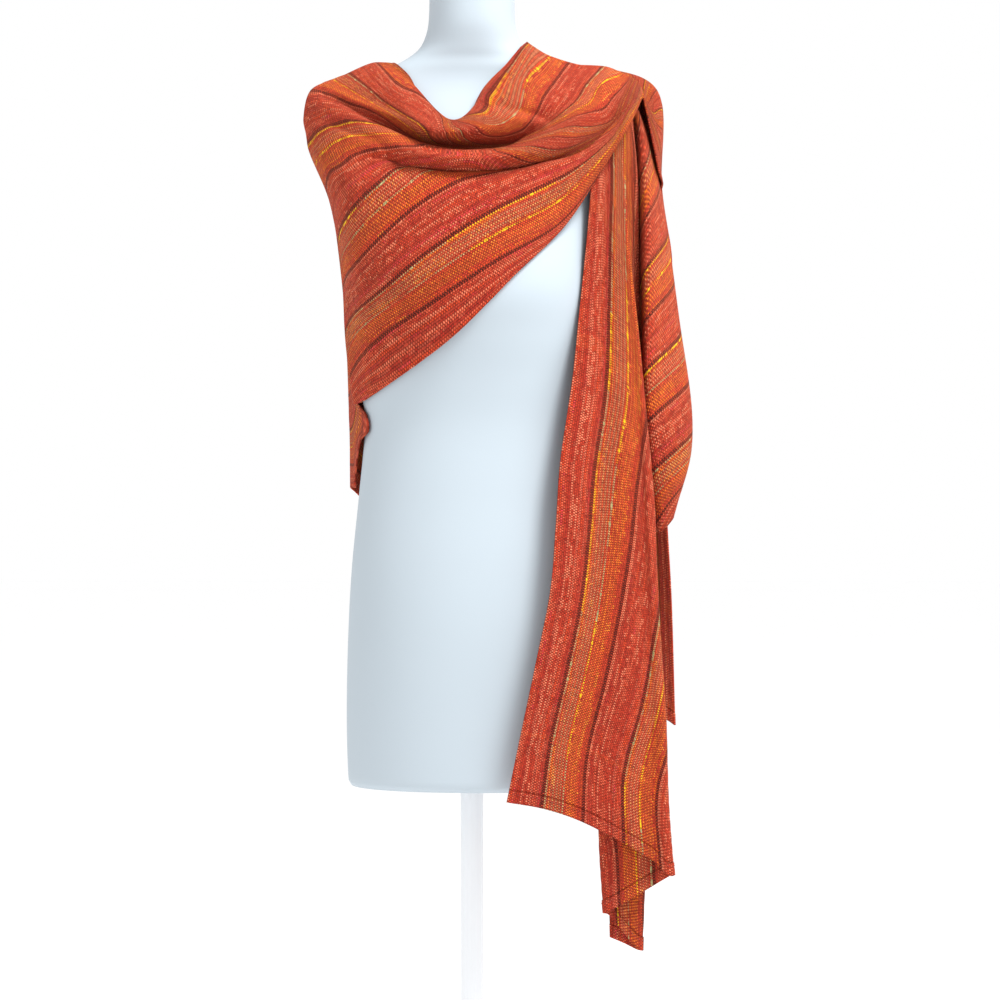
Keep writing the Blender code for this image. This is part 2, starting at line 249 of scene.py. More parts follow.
def keep_out(grid, tree, gap, outward=None, reach=0.05):
    """Move a sheet out of a surface, or further from it than the gap, and ease its neighbours."""
    rows, cols = grid.shape[:2]
    moves = np.zeros((rows, cols, 3))
    for i in range(rows):
        for j in range(cols):
            point = Vector(grid[i, j, :3])
            hit, normal, _, far = tree.find_nearest(point, reach)
            if hit is None:
                continue
            if outward is not None and normal.dot(outward(point)) < 0:
                normal = -normal
            depth = (point - hit).dot(normal)
            beside = abs(depth) < 0.6 * far and far > 0.5 * gap
            if depth < gap and not beside and (depth < 0 or far < gap):
                moves[i, j] = hit + normal * gap - point
    for _ in range(EASING_TURNS):
        wide = np.pad(moves, ((1, 1), (1, 1), (0, 0)), mode="edge")
        blend = (wide[:-2, 1:-1] + wide[2:, 1:-1] + wide[1:-1, :-2] + wide[1:-1, 2:]) / 4
        longer = np.linalg.norm(blend, axis=-1) > np.linalg.norm(moves, axis=-1)
        moves = np.where(longer[..., None], blend, moves)
    grid[..., :3] += moves


def normals_of(grid):
    """Unit normals of a sheet."""
    down = np.gradient(grid[..., :3], axis=0)
    over = np.gradient(grid[..., :3], axis=1)
    normal = np.cross(down, over)
    return normal / np.linalg.norm(normal, axis=-1, keepdims=True).clip(1e-12)


def places(grid):
    """Fractions down and across a sheet, shaped like the sheet."""
    rows, cols = grid.shape[:2]
    return np.meshgrid(np.linspace(0, 1, rows), np.linspace(0, 1, cols), indexing="ij")


def press_folds(grid, folds):
    """Press sharp folds into a sheet. Each row holds a depth (below 0 for a ridge), how far the cloth
    above laps over the line, how far the fold reaches above and below it, and the line's points as the
    camera sees them."""
    sight = grid[..., :3] - EYE
    seen = (EYE - sight * EYE[1] / sight[..., 1:2])[..., [0, 2]].reshape(-1, 2)
    sight = sight / np.linalg.norm(sight, axis=-1, keepdims=True)
    for depth, lap, above, below, *line in folds:
        corners = np.array(line).reshape(-1, 2)
        flat = np.column_stack([corners[:, 0], np.zeros(len(corners)), corners[:, 1]])
        path = resample(flat[:, None], np.linspace(0, 1, PATH_POINTS))[:, 0][:, [0, 2]]
        away = seen[:, None] - path[None]
        nearest = np.argmin((away ** 2).sum(axis=-1), axis=1)
        run = np.gradient(path, axis=0)
        run /= np.linalg.norm(run, axis=1, keepdims=True)
        beside = away[np.arange(len(seen)), nearest]
        side = run[nearest, 0] * beside[:, 1] - run[nearest, 1] * beside[:, 0]
        far = np.linalg.norm(beside, axis=1)
        reach = np.where(side > 0, above, below)
        fade = np.sin(math.pi * (nearest / (PATH_POINTS - 1)).clip(0.02, 0.98)) ** 0.5
        swell = fade * np.exp(-(far / reach) ** 2)
        down_line = np.column_stack([run[nearest, 1], np.zeros(len(far)), -run[nearest, 0]])
        press = sight.reshape(-1, 3) * (depth * swell)[:, None]
        move = press + down_line * (lap * swell)[:, None]
        grid[..., :3] += move.reshape(*grid.shape[:2], 3)


def cloth_piece(name, grid, thick=CLOTH, from_hem=False):
    """A sheet as an object: a bmesh grid moved onto its points, with metres of cloth on its UV map.
    Where the sheet hangs from a hem, each thread keeps its own length."""
    rows, cols = grid.shape[:2]
    cloth = bmesh.new()
    bmesh.ops.create_grid(cloth, x_segments=rows - 1, y_segments=cols - 1, size=0.5)
    steps = np.linalg.norm(np.diff(grid[..., :3], axis=0), axis=-1)
    if not from_hem:
        steps = np.repeat(steps.mean(axis=1, keepdims=True), cols, axis=1)
    down = np.concatenate([np.zeros((1, cols)), np.cumsum(steps, axis=0)])
    weave = cloth.loops.layers.uv.new("cloth")
    place = {}
    for vert in cloth.verts:
        i = round((vert.co.x + 0.5) * (rows - 1))
        j = round((vert.co.y + 0.5) * (cols - 1))
        place[vert] = (i, j)
    for vert, (i, j) in place.items():
        vert.co = grid[i, j, :3]
    for face in cloth.faces:
        for loop in face.loops:
            i, j = place[loop.vert]
            loop[weave].uv = (down[i, j] + UV_START, grid[i, j, 3] * WIDTH)
    piece = to_object(name, cloth)
    wall = piece.modifiers.new("Wall", "SOLIDIFY")
    wall.thickness = thick
    wall.offset = 0
    cells = np.cross(np.diff(grid[:, :-1, :3], axis=0), np.diff(grid[:-1, :, :3], axis=1))
    area = np.linalg.norm(cells, axis=-1).sum()
    print(name, "is", round(down[-1].mean(), 3), "m along, area", round(area, 4), "m2")
    return piece

# %% [markdown]
# The front fall is one end of the shawl, folded in a Z as it hangs: a panel in front, a fold behind it,
# and a second fold that peeps out to the right and below. Each row is a level, from the hem up to the
# shoulder. The first number is the part of the loom's width that the front panel shows.

# %% Front fall
FRONT = table("""
334  38 -136  600  222 -112  520  145  -98  478  187  -84  437  152  -70  452
334  52 -137  668  216 -114  600  140 -100  560  190  -86  524  150  -72  540
282  70 -135  753  213 -112  694  140  -98  660  190  -84  630  152  -71  640
238  86 -130  833  207 -106  783  148  -92  756  188  -78  730  156  -64  738
205  92 -120  905  203  -98  857  156  -82  836  184  -64  813  172  -44  822
183  97 -108  976  200  -90  932  168  -73  915  184  -54  900  186  -22  905
140 110  -92 1064  191  -76 1030  172  -60 1018  182  -40 1008  185  -13 1010
125 119  -78 1151  182  -62 1124  174  -46 1116  180  -32 1108  184  -20 1108
110 127  -72 1230  172  -56 1215  175  -46 1212  179  -36 1206  183  -29 1206
100 131  -67 1300  168  -48 1290  172  -41 1288  177  -36 1285  182  -30 1284
100 126  -55 1352  166  -38 1348  170  -31 1346  174  -24 1344  177  -15 1342
100 113   -4 1400  148   -4 1389  156   -4 1386  165   -4 1381  174   -4 1377
""")
FOLD_TURN = 0.0056
FRONT_GRID = (260, 170)
# Points across the panel: the part of its width, and how far it stands off
PANEL_SWELL = ((0.0, 0.0), (0.22, -0.004), (0.45, 0.003), (0.7, -0.003), (0.88, 0.0))


def z_folded(row):
    """Control points of one level: the panel, then the layers folded behind it."""
    shown = row[0]
    a, b, c, d, e = spots(row[1:])
    width = np.linalg.norm(b - a)
    points = []
    for w, lift in PANEL_SWELL:
        point = a + (b - a) * w
        point[2] = a[2] + (b[2] - a[2]) * w ** 1.6
        point[1] += lift * min(1.0, width / 0.12)
        points.append(point)
    for turn, before, here, after, side in ((0, a, b, c, -1), (1, b, c, d, 1), (2, c, d, e, -1)):
        step = FOLD_TURN * min(1.0, abs(b[0] - c[0]) / 0.03)
        level = here[2]
        if turn:
            points.append((before + here) / 2)
            level = before[2] + (here[2] - before[2]) * 0.94
        points.append(np.array([here[0] + side * step, here[1] - step, level]))
        points.append(here)
        level = here[2] + (after[2] - here[2]) * 0.06
        points.append(np.array([here[0] + side * step, here[1] + step, level]))
    points.append(d + (e - d) * 0.6)
    points.append(e)
    points = np.array(points)
    length = np.concatenate([[0.0], np.cumsum(np.linalg.norm(np.diff(points, axis=0), axis=1))])
    fold = length[len(PANEL_SWELL) + 1]
    across = np.where(length < fold, shown * length / fold, shown + (length - fold) / WIDTH)
    return np.column_stack([points, across.clip(0, 1)])


front_rows = np.array([z_folded(row) for row in FRONT])
front_grid = lay_out(front_rows, np.linspace(0, 1, FRONT_GRID[0]), FRONT_GRID[1])
keep_out(front_grid, form_tree, FORM_GAP)
front_length = np.linalg.norm(np.diff(front_grid[:, 0, :3], axis=0), axis=1).sum()
print("front selvedge", round(front_length, 3), "m")

# %% [markdown]
# Round the back the shawl is a wide band, from the valley behind the front fall to the left side of the
# body. Each row is a station. Its first two numbers are the places across the loom of its upper and
# lower edges.

# %% Back wrap
BACK = table("""
160  950  141  -2 1393   172   -2 1375   180   -8 1284   184  -10 1180   189    2 1040   196   10  900
200  970  141   3 1393   178   -5 1368   191  -41 1278   193  -50 1165   194  -46 1040   208   -8  898
250 1000  136   8 1395   181    9 1363   206    0 1275   225    0 1133   240    2  995   221    6  913
280 1000  118  22 1396   182   22 1360   200   42 1270   218   54 1130   230   66 1000   214   72  912
210 1000   92  48 1396   158   56 1345   170   78 1255   184   92 1125   192  108 1000   186  116  905
100 1000   58  68 1404   108   82 1340   114  102 1250   122  116 1125   126  132 1000   126  140  898
  0 1000   10  72 1416    14   96 1335    16  110 1245    18  122 1120    18  136 1000    18  144  896
  0 1000  -38  68 1418   -70   88 1342   -78  106 1250   -82  118 1125   -82  130 1005   -80  136  902
  0 1000  -78  46 1394  -130   64 1352  -136   82 1255  -133   92 1130  -130   98 1010  -130  102  943
  0 1000  -92  24 1400  -166   28 1367  -153   34 1262  -140   36 1150  -131   38 1030  -128   40  946
""")

# The line at the left side that the back and the chest share: x, y, z and the place across the loom
LEFT_SIDE = table("""
 -89   9 1410 200
-109   9 1412 300
-140   9 1401 400
-170   9 1387 470
-181   9 1353 515
-174   9 1316 550
-153   9 1262 600
-142   9 1190 700
-137   9 1115 815
-131   6 1052 930
-124 -16 1036 965
-112 -40 1022 970
-110 -42 1010 975
-120 -26 1000 980
-125  -8  985 985
-129   3  949 1000
""")
STATION_POINTS = 30
BACK_WAVES = 6
BACK_WAVE = 0.006
BACK_GRID = (220, 140)
VALLEY_GAP = 0.0030


def station(row):
    """One station round the back as evenly spaced points."""
    corners = spots(row[2:])
    points = resample(corners[:, None], np.linspace(0, 1, STATION_POINTS))[:, 0]
    return np.column_stack([points, np.linspace(row[0], row[1], STATION_POINTS)])


left_side = resample(np.array(LEFT_SIDE)[:, None], np.linspace(0, 1, STATION_POINTS))[:, 0]
back_rows = np.array([station(row) for row in BACK] + [left_side])
back_grid = lay_out(back_rows, np.linspace(0, 1, BACK_GRID[0]), BACK_GRID[1])
round_back, down_back = places(back_grid)
outward = back_grid[..., :3] * np.array([0.3, 1.0, 0.0])
outward[..., 1] = abs(outward[..., 1])
outward /= np.linalg.norm(outward, axis=-1, keepdims=True)
ripple = np.sin(2 * math.pi * BACK_WAVES * round_back)
opening = np.sin(math.pi * round_back) ** 2 * down_back ** 2 * ripple
back_grid[..., :3] += outward * (BACK_WAVE * opening)[..., None]
keep_out(back_grid, form_tree, FORM_GAP)
keep_out(back_grid, tree_of(front_grid), VALLEY_GAP, from_axis, VALLEY_GAP)
print("back wrap laid out")

# %% [markdown]
# The chest is the stretch that a visitor looks at first. It runs from the left side across to the right
# shoulder, and its upper edge rolls over and sinks into two deep creases below the neck. Each row is one
# line along the cloth, from the tucked edge through the rolls and creases down to the free selvedge.

# %% Chest drape
CHEST = table("""
 -89   9 1410   -82  -12 1408   -66  -38 1394   -44  -64 1332  -16  -68 1330 \
     12  -60 1384   38  -42 1412   50  -20 1428   60    4 1436
 -95   9 1413   -92  -14 1412   -67  -46 1391   -30  -80 1353  -12  -88 1352 \
     17  -70 1380   45  -46 1407   57  -24 1422   67    4 1431
-109   9 1413  -110  -15 1411   -86  -58 1384   -46 -102 1341    8 -106 1344 \
     46  -94 1352   72  -58 1382   80  -30 1403   84    2 1421
-140   9 1402  -144  -16 1395  -112  -54 1371   -54  -84 1334    8  -85 1327 \
     56  -78 1334  100  -56 1368  110  -30 1391  116    1 1411
-152   9 1397  -158  -15 1389  -118  -62 1360   -55  -86 1330    9  -87 1322 \
     60  -80 1330  114  -59 1364  125  -32 1389  132    1 1410
-170   9 1387  -177  -14 1379  -126  -74 1346   -58 -110 1316   12 -118 1310 \
     75 -102 1327  130  -64 1359  141  -36 1386  150    0 1408
-181   9 1352  -183  -16 1351  -129  -80 1314   -62 -103 1302   15 -107 1298 \
     88  -92 1314  146  -58 1348  164  -35 1376  173   -1 1398
-179   9 1335  -180  -17 1333  -130  -86 1297   -63 -104 1297   17 -108 1293 \
     90  -93 1309  149  -59 1344  166  -37 1373  175   -1 1397
-175   9 1318  -177  -18 1314  -131  -92 1280   -64 -116 1279   20 -122 1275 \
     95 -102 1293  153  -64 1336  170  -41 1370  178   -1 1396
-153   9 1262  -155  -20 1258  -127  -94 1222   -62 -126 1230   24 -132 1244 \
     98 -100 1276  152  -68 1326  173  -46 1363  182   -2 1392
-142   9 1190  -142  -20 1180  -121  -88 1168   -60 -130 1180   25 -135 1212 \
     100  -98 1256  149  -71 1314  173  -51 1355  185   -4 1387
-137   9 1115  -137  -20 1105  -108  -80 1110   -42 -124 1144   34 -128 1194 \
     100  -96 1244  146  -72 1305  172  -54 1348  187   -6 1382
-130   9 1052  -128  -20 1038   -87  -80 1063   -20 -120 1113   45 -122 1178 \
     102  -94 1234  143  -72 1296  171  -56 1341  188   -9 1377
""")

# Sharp folds: depth, lap, reach above and below the line, then x and z of points along it
CHEST_FOLDS = table("""
-12  0  11   5  -156 1384  -117 1370   -87 1357   -53 1342   -20 1333    14 1332    46 1336    66 1343
 10  7   6   4  -160 1376  -134 1368  -117 1358   -87 1345   -53 1331   -17 1324    11 1324 \
     41 1327    56 1337
 -8  0  10   5  -100 1317   -66 1311   -30 1307     3 1307    40 1309    75 1315   106 1324 \
    132 1338   156 1359
  9  7   6   4  -107 1310   -85 1309   -66 1304   -46 1301   -24 1299     3 1300    37 1301 \
     58 1304    80 1310   108 1316   127 1326   141 1339   157 1354   176 1372   186 1378
  7  3   6   7  -150 1392  -134 1384  -117 1376   -99 1369   -77 1356   -58 1344
 -6  0   5   8    -2 1352    20 1357    40 1354    58 1351    72 1348    86 1341
  7  0   7   3    10 1362    24 1366    44 1361    62 1357    76 1353    88 1345
  5  3   6   6  -176 1359  -156 1350  -132 1340  -107 1332
  4  2   6   6  -172 1336  -161 1317  -153 1295  -147 1268
  5  2   7   7  -118 1337   -96 1322   -80 1306   -66 1286
  3  0   8   8   141 1318    97 1293    31 1257   -35 1213   -90 1163
 -3  0   8   8   157 1325   108 1290    53 1250   -13 1200   -70 1150
  3  0   8   8   174 1340   143 1300    97 1262    31 1218   -35 1170
  4  2   6   6  -132 1130  -117 1118   -98 1106   -70 1096
""")

# The place across the loom of each of those points, in thousandths
CHEST_LOOM = table("""
 200  200  240  240   25   35   44   50   56
 250  260  280  270   50   57   70   76   80
 300  320  320  370  120  104  123  110   96
 400  410  430  440  240  182  193  180  160
 440  440  490  580  600  320  245  220  195
 470  470  555  640  670  490  300  265  235
 515  510  620  690  710  600  400  340  290
 540  535  645  725  775  780  680  520  400
 550  560  672  750  824  850  810  720  580
 600  640  748  819  877  886  885  850  780
 700  765  829  888  922  918  912  900  870
 815  890  940  955  956  938  930  915  900
 925 1000 1000 1000  995  970  945  930  915
""")

CHEST_GRID = (230, 205)
left_curve = resample(np.array(LEFT_SIDE)[:, None], np.linspace(0, 1, CURVE_STEPS))[:, 0]
chest_lines = []
for row, loom in zip(CHEST, CHEST_LOOM):
    line = spots(row)
    nearest = np.argmin(np.linalg.norm(left_curve[:, :3] - line[0], axis=1))
    line[0] = left_curve[nearest, :3]
    loom[0] = left_curve[nearest, 3]
    chest_lines.append(np.column_stack([line, loom]))
chest_stations = np.array(chest_lines).transpose(1, 0, 2)
chest_grid = lay_out(chest_stations, np.linspace(0, 1, CHEST_GRID[0]), CHEST_GRID[1])
press_folds(chest_grid, CHEST_FOLDS)
keep_out(chest_grid, form_tree, FORM_GAP)
keep_out(chest_grid, tree_of(front_grid[12:, :80]), LAYER_GAP, from_axis, 0.03)
keep_out(chest_grid, tree_of(back_grid[12:80, :50]), LAYER_GAP, from_axis, 0.02)
print("chest laid out")

# %% [markdown]
# Over the right shoulder the other end hangs straight down the back. It starts on the very line where
# the chest stops, so the stripes run over the shoulder, and it opens into three soft pleats on its way
# down.

# %% Back fall
FALL = table("""
 66  52 1418   102  62 1403   148  56 1391   203  24 1382   205 -13 1297
 66  96 1362   104 108 1344   152  98 1328   204  68 1302   208  40 1264
 60 118 1272   100 128 1256   150 122 1244   200 106 1226   220  66 1196
 54 142 1142    98 150 1128   146 146 1116   194 132 1102   216  98 1080
 48 158 1000    94 164  988   142 160  976   190 144  962   214 108  942
 44 160  880    90 166  868   138 162  852   188 144  836   220 104  820
 42 158  765    88 164  754   136 160  736   186 142  708   224 102  684
""")
PLEATS = 3.0
PLEAT_DEPTH = 0.012
PLEAT_VALLEYS = (0.25, 0.583, 0.917)
SHOWN_IN_PLEATS = 0.485
LEVEL_POINTS = 22
FALL_GRID = (230, 150)


def pleated(row, level):
    """One level of the hanging end, with its soft pleats."""
    points = resample(spots(row)[:, None], np.linspace(0, 1, LEVEL_POINTS))[:, 0]
    w = np.linspace(0, 1, LEVEL_POINTS)
    size = PLEAT_DEPTH * min(1.0, max(0.0, (level - 0.6) / 3.0))
    edge = np.sin(math.pi * w) ** 0.5
    points[:, 0] += np.cos(2 * math.pi * PLEATS * w) * edge * size * 0.35
    points[:, 1] += size * (1 + np.sin(2 * math.pi * PLEATS * w) * edge)
    return np.column_stack([points, w])


shoulder_line = resample(chest_grid[-1][:, None], np.linspace(0, 1, LEVEL_POINTS))[:, 0]
fall_rows = np.array([shoulder_line] + [pleated(row, k + 1) for k, row in enumerate(FALL)])
fall_grid = lay_out(fall_rows, np.linspace(0, 1, FALL_GRID[0]), FALL_GRID[1])
down_fall, over_fall = places(fall_grid)
passed = [np.clip((over_fall - valley) / 0.03 + 0.5, 0, 1) for valley in PLEAT_VALLEYS]
hidden = sum(passed) / len(PLEAT_VALLEYS)
in_pleats = SHOWN_IN_PLEATS * over_fall + (1 - SHOWN_IN_PLEATS) * hidden
settled = (down_fall / 0.25).clip(0, 1)
fall_grid[..., 3] += (in_pleats - fall_grid[..., 3]) * settled
keep_out(fall_grid, form_tree, FORM_GAP)
keep_out(fall_grid, tree_of(back_grid), LAYER_GAP, from_axis, 0.02)
fall_length = np.linalg.norm(np.diff(fall_grid[:, 60, :3], axis=0), axis=1).sum()
print("back fall", round(fall_length, 3), "m")

# %% [markdown]
# Each sheet becomes a mesh, and a Solidify modifier gives it the wall of a real cloth. The two hems are
# strips of the same sheets, cut off at the fold line and made as thick as the doubled cloth.

# %% Cloth pieces
def hem_rows(grid, from_end):
    """Rows that the folded hem takes up at one end of a sheet."""
    line = grid[::-1] if from_end else grid
    middle = line.shape[1] // 3
    down = np.cumsum(np.linalg.norm(np.diff(line[:, middle, :3], axis=0), axis=1))
    return int(np.searchsorted(down, HEM_BAND)) + 1


def hem_strip(grid, count, from_end):
    """The last few rows of a sheet on a finer spacing."""
    strip = grid[-count - 1:] if from_end else grid[:count + 1]
    return resample(strip, np.linspace(0, 1, 10))


front_cut = hem_rows(front_grid, False)
fall_cut = hem_rows(fall_grid, True)
front = cloth_piece("front_fall_cloth", front_grid[front_cut:], from_hem=True)
front_hem = cloth_piece("front_hem_cloth", hem_strip(front_grid, front_cut, False), HEM_THICK)
back = cloth_piece("back_wrap_cloth", back_grid)
chest = cloth_piece("chest_drape_cloth", chest_grid)
fall = cloth_piece("back_fall_cloth", fall_grid[:-fall_cut])
back_hem = cloth_piece("back_hem_cloth", hem_strip(fall_grid, fall_cut, True), HEM_THICK)


def stitch_row(name, grid, count, from_end):
    """A row of small stitches on both faces of a hem, where its fold is sewn down."""
    line = grid[::-1] if from_end else grid
    row = line[count - 1, :, :3]
    normal = normals_of(grid)[-count if from_end else count - 1]
    length = np.concatenate([[0.0], np.cumsum(np.linalg.norm(np.diff(row, axis=0), axis=1))])
    thread = bmesh.new()
    for start in np.arange(STITCH_PITCH, length[-1] - STITCH_PITCH, STITCH_PITCH):
        middle = np.array([np.interp(start, length, row[:, axis]) for axis in range(3)])
        ahead = np.array([np.interp(start + 0.001, length, row[:, axis]) for axis in range(3)])
        outwards = np.array([np.interp(start, length, normal[:, axis]) for axis in range(3)])
        outwards /= np.linalg.norm(outwards)
        along = (ahead - middle) / np.linalg.norm(ahead - middle)
        for side in (1, -1):
            place = Vector(middle + outwards * side * HEM_THICK * 0.52)
            turn = Vector(along).to_track_quat("X", "Z").to_matrix().to_4x4()
            size = Matrix.Diagonal((STITCH_LENGTH / 2, STITCH_THICK / 2, STITCH_THICK / 2, 1.0))
            bead = Matrix.Translation(place) @ turn @ size
            bmesh.ops.create_icosphere(thread, subdivisions=1, radius=1.0, matrix=bead)
    return to_object(name, thread)


front_stitches = stitch_row("front_hem_stitches", front_grid, front_cut, False)
back_stitches = stitch_row("back_hem_stitches", fall_grid, fall_cut, True)
dressed = {"front_fall": front, "front_hem": front_hem, "back_wrap": back,
           "chest_drape": chest, "back_fall": fall, "back_hem": back_hem}
for node, piece in dressed.items():
    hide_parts(node)

# %% [markdown]
# Each stretch was cut from the one woven rectangle, and folds hide the rest of it. Its length along the
# cloth and its area were printed when its piece was made.

# %% The stretches
print("four sheets made")

# %% [markdown]
# Shader maths reads best as plain arithmetic. One small class wraps a node's output: an expression on
# such values adds the Math nodes, and everything else comes from one method that makes a node.

# %% A wrapper for shader nodes
class Value:
    """One output of a shader node, with arithmetic."""

    def __init__(self, graph, output):
        self.graph = graph
        self.output = output

    def maths(self, operation, *others):
        """A Math node on this value."""
        return self.graph.node("ShaderNodeMath", {"operation": operation}, self, *others)

    def __add__(self, other):
        return self.maths("ADD", other)

    def __radd__(self, other):
        return self.maths("ADD", other)

    def __sub__(self, other):
        return self.maths("SUBTRACT", other)

    def __rsub__(self, other):
        return self.graph.node("ShaderNodeMath", {"operation": "SUBTRACT"}, other, self)

    def __mul__(self, other):
        return self.maths("MULTIPLY", other)

    def __rmul__(self, other):
        return self.maths("MULTIPLY", other)

    def __truediv__(self, other):
        return self.maths("DIVIDE", other)

    def __mod__(self, other):
        return self.maths("FLOORED_MODULO", other)

    def __pow__(self, other):
        return self.maths("POWER", other)

    def __lt__(self, other):
        return self.maths("LESS_THAN", other)

    def __gt__(self, other):
        return self.maths("GREATER_THAN", other)


class Graph:
    """The node tree of one material."""

    def __init__(self, name):
        self.material = bpy.data.materials.new(name)
        self.material.use_nodes = True
        self.tree = self.material.node_tree
        self.shader = self.tree.nodes["Principled BSDF"]

    def put(self, socket, value):
        """Link a value to a socket, or set the socket."""
        if isinstance(value, Value):
            self.tree.links.new(value.output, socket)
        else:
            socket.default_value = value

    def node(self, kind, settings, *values, out=0, **named):
        """Make a node: its settings first, then its sockets in order or by name."""
        made = self.tree.nodes.new(kind)
        stops = settings.pop("stops", None)
        for key, value in settings.items():
            setattr(made, key, value)
        if stops:
            ramp = made.color_ramp
            while len(ramp.elements) < len(stops):
                ramp.elements.new(1.0)
            for element, (place, colour) in zip(ramp.elements, stops):
                element.position = place
                element.color = colour
        sockets = [socket for socket in made.inputs if socket.enabled]
        for socket, value in zip(sockets, values):
            self.put(socket, value)
        for name, value in named.items():
            self.put(next(socket for socket in sockets if socket.name == name.replace("_", " ")), value)
        outputs = [socket for socket in made.outputs if socket.enabled]
        return Value(self, outputs[out])

    def split(self, vector):
        """The x, y and z of a vector."""
        whole = self.node("ShaderNodeSeparateXYZ", {}, vector)
        return [Value(self, output) for output in whole.output.node.outputs]

    def point(self, x, y, z=0.0):
        """A vector from three values."""
        return self.node("ShaderNodeCombineXYZ", {}, x, y, z)

    def mix(self, factor, first, second, blend="MIX"):
        """Mix two colours."""
        kind = {"data_type": "RGBA", "blend_type": blend}
        return self.node("ShaderNodeMix", kind, factor, first, second)

    def noise(self, vector, scale, detail=2.0):
        """Soft noise, from 0 to 1."""
        return self.node("ShaderNodeTexNoise", {}, Vector=vector, Scale=scale, Detail=detail)

    def chance(self, *values):
        """An even random number from 0 to 1 for each whole number, or pair of them."""
        kind = {"noise_dimensions": "1D" if len(values) == 1 else "2D"}
        seed = values[0] if len(values) == 1 else self.point(*values)
        return self.node("ShaderNodeTexWhiteNoise", kind, seed)

    def steps(self, tone, stops):
        """Plain colours, each from its own tone upwards."""
        ramp = self.node("ShaderNodeValToRGB", {"stops": stops}, tone)
        ramp.output.node.color_ramp.interpolation = "CONSTANT"
        return ramp

    def finish(self, colour, roughness, height=None, distance=0.0003, strength=1.0):
        """Feed the Principled shader."""
        self.put(self.shader.inputs["Base Color"], colour)
        self.put(self.shader.inputs["Roughness"], roughness)
        if height is not None:
            bump = self.node("ShaderNodeBump", {}, Strength=strength, Distance=distance, Height=height)
            self.put(self.shader.inputs["Normal"], bump)
        return self.material


def dye(red, green, blue):
    """A colour as a screen shows it, 0 to 255, turned into the linear colour that a shader needs."""
    channels = [channel / 255 for channel in (red, green, blue)]
    linear = [c / 12.92 if c < 0.04045 else ((c + 0.055) / 1.055) ** 2.4 for c in channels]
    return (*linear, 1.0)

# %% [markdown]
# The cloth is a plain weave of thick soft yarn: each warp end passes over one pick and under the next.
# So the surface is a chequer of small domes, where every second one shows the warp and the others show
# the rust weft. Stripes are warp ends. Two dark ends lie every 43 mm and show as a zigzag, and the
# fields between them are by turns orange and brick red, with slub yarns that swell into beads.

# %% Yarn colours
DARK = dye(62, 18, 14)
BRICK = dye(184, 56, 36)
CRIMSON = dye(154, 30, 27)
RUST = dye(205, 67, 35)
TERRACOTTA = dye(208, 88, 60)
ORANGE = dye(226, 104, 30)
HONEY = dye(230, 128, 46)
GOLD = dye(250, 194, 30)
SAND = dye(216, 160, 112)
SAGE = dye(178, 164, 112)
PEACH = dye(224, 120, 88)
HOT_PINK = dye(208, 62, 64)
WEFT = dye(182, 58, 36)
WEFT_DEEP = dye(146, 40, 25)

# The stripe plan, in millimetres across the loom
SELVEDGE = 30.0
REPEAT = 42.7
FIELD_END = 500.0
END_MM = END / MM
HALF_END = 0.5 * END_MM
SLUB_LINES = (4.8, 22.5)
BEAD_REACH = 1.15
PALE_LINE = 4.9
LUMP_REACH = 1.1
SELVEDGE_LINES = (12.3, 20.6, 510.6, 518.9)
COOL_BAND = (8, 20)
HONEY_BAND = (26, 37)

# How far the yarns stray, in metres
WANDER = 0.0007
BEAT = 0.0005

# Each tone of yarn and where it starts on the scale from 0 to 1
WARM_YARNS = [(0.0, ORANGE), (0.14, RUST), (0.34, BRICK), (0.44, HONEY),
              (0.49, RUST), (0.66, ORANGE), (0.76, BRICK), (0.90, RUST)]
RED_YARNS = [(0.0, RUST), (0.20, TERRACOTTA), (0.34, BRICK), (0.48, PEACH),
             (0.58, BRICK), (0.74, TERRACOTTA), (0.88, HOT_PINK)]


